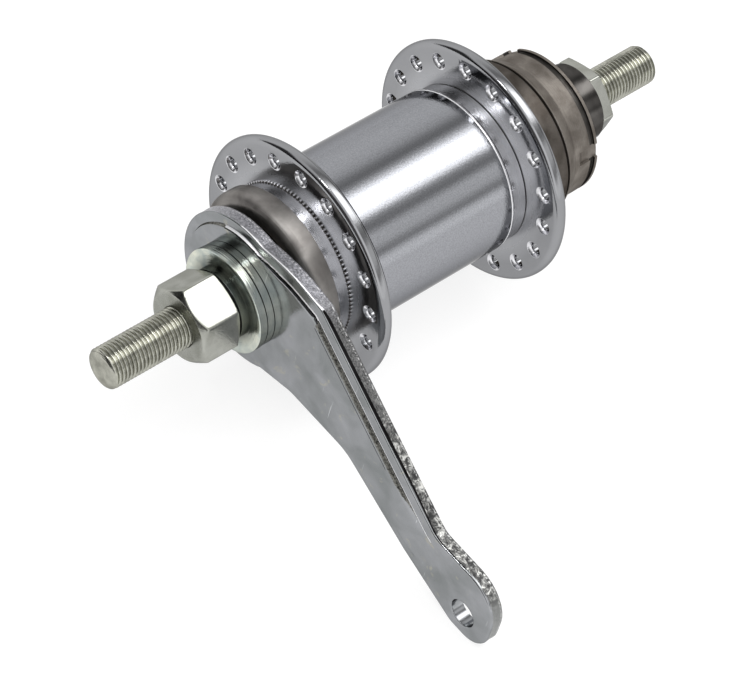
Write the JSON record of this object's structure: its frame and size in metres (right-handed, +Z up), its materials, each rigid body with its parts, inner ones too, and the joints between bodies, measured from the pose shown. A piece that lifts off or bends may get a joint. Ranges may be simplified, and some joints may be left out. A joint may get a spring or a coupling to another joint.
{
  "type": "coaster brake hub",
  "caption": "Bicycle rear hub with a back-pedal brake: flanged shell on a threaded axle, driver with a sprocket seat, and a plated brake arm with a strap hole.",
  "frame": {"origin": "on the axle line, midway between the middles of the two spoke flanges, which is the centre plane of the wheel", "axes": "+Y along the axle towards the driver and sprocket side, +X towards the brake arm's tip, +Z up with the hub lying on its two flanges and the arm's tip; back-pedalling turns the driver the right-handed way about +Y"},
  "size_m": [0.116, 0.158, 0.058],
  "materials": {
    "zinc_axle": "yellowish zinc plate on a rolled thread",
    "zinc_nut": "zinc plate",
    "zinc_washer": "zinc plate with fine turned lines",
    "plated_arm": "bright plate over pressed steel, duller on the sheared edge",
    "chrome_flange": "bright chrome plate",
    "chrome_barrel": "chrome plate over a turned surface",
    "bare_steel": "hardened steel, oiled and unplated",
    "cone_steel": "polished hardened steel",
    "ball_steel": "polished balls",
    "cage_steel": "pressed sheet",
    "shield_steel": "dark pressed sheet",
    "shoe_steel": "sintered steel, greased"
  },
  "bodies": {
    "axle_and_arm": {"axle": "zinc_axle", "brake_arm": "plated_arm", "locknut_brake_side": "zinc_nut", "dished_washer": "zinc_washer", "flat_washer": "zinc_washer", "brake_cone": "bare_steel", "dust_shield": "shield_steel", "right_cone": "cone_steel", "locknut_drive_side": "zinc_nut"},
    "hub_shell": {"hub_barrel": "chrome_barrel", "flange_brake_side": "chrome_flange", "flange_drive_side": "chrome_flange", "bearing_cup_brake_side": "bare_steel", "bearing_cup_drive_side": "bare_steel"},
    "brake_side_bearing": {"ball_cage_brake_side": "cage_steel", "balls_brake_side": "ball_steel"},
    "drive_side_bearing": {"ball_cage_drive_side": "cage_steel", "balls_drive_side": "ball_steel"},
    "right_cone_bearing": {"ball_cage_right_cone": "cage_steel", "balls_right_cone": "ball_steel"},
    "driver": {"driver": "bare_steel", "driver_dust_cap": "shield_steel"},
    "clutch_cone": {"clutch_cone": "bare_steel"},
    "drag_spring": {"drag_spring": "cage_steel"},
    "brake_shoe_upper": {"brake_shoe_upper": "shoe_steel"},
    "brake_shoe_lower": {"brake_shoe_lower": "shoe_steel"}
  },
  "joints": [
    {"name": "wheel_spin", "type": "hinge", "parent": "axle_and_arm", "child": "hub_shell", "pos_m": [0, 0, 0], "axis": [0, 1, 0], "continuous": true},
    {"name": "pedal_spin", "type": "hinge", "parent": "axle_and_arm", "child": "drive_side_bearing", "pos_m": [0, 0.0325, 0], "axis": [0, 1, 0], "continuous": true},
    {"name": "back_pedal", "type": "hinge", "parent": "drive_side_bearing", "child": "driver", "pos_m": [0, 0.0325, 0], "axis": [0, 1, 0], "range_deg": [0, 30]},
    {"name": "clutch_travel", "type": "slide", "parent": "drive_side_bearing", "child": "clutch_cone", "axis": [0, 1, 0], "range_m": [-0.00251, 0]},
    {"name": "drag_spring_travel", "type": "slide", "parent": "axle_and_arm", "child": "drag_spring", "axis": [0, 1, 0], "range_m": [-0.00251, 0]},
    {"name": "upper_shoe_travel", "type": "slide", "parent": "axle_and_arm", "child": "brake_shoe_upper", "axis": [0, -0.9578, 0.2873], "range_m": [0, 0.00105]},
    {"name": "lower_shoe_travel", "type": "slide", "parent": "axle_and_arm", "child": "brake_shoe_lower", "axis": [0, -0.9578, -0.2873], "range_m": [0, 0.00105]},
    {"name": "brake_side_balls_spin", "type": "hinge", "parent": "axle_and_arm", "child": "brake_side_bearing", "pos_m": [0, -0.032, 0], "axis": [0, 1, 0], "continuous": true},
    {"name": "right_cone_balls_spin", "type": "hinge", "parent": "axle_and_arm", "child": "right_cone_bearing", "pos_m": [0, 0.0432, 0], "axis": [0, 1, 0], "continuous": true}
  ],
  "couplings": [
    {"joint": "brake_side_balls_spin", "follows": "wheel_spin", "ratio": 0.563},
    {"joint": "right_cone_balls_spin", "follows": "pedal_spin", "ratio": 0.606},
    {"joint": "clutch_travel", "follows": "back_pedal", "m_per_rad": -0.0047746},
    {"joint": "drag_spring_travel", "follows": "back_pedal", "m_per_rad": -0.0047746},
    {"joint": "upper_shoe_travel", "follows": "back_pedal", "m_per_rad": 0.0019939},
    {"joint": "lower_shoe_travel", "follows": "back_pedal", "m_per_rad": 0.0019939}
  ]
}
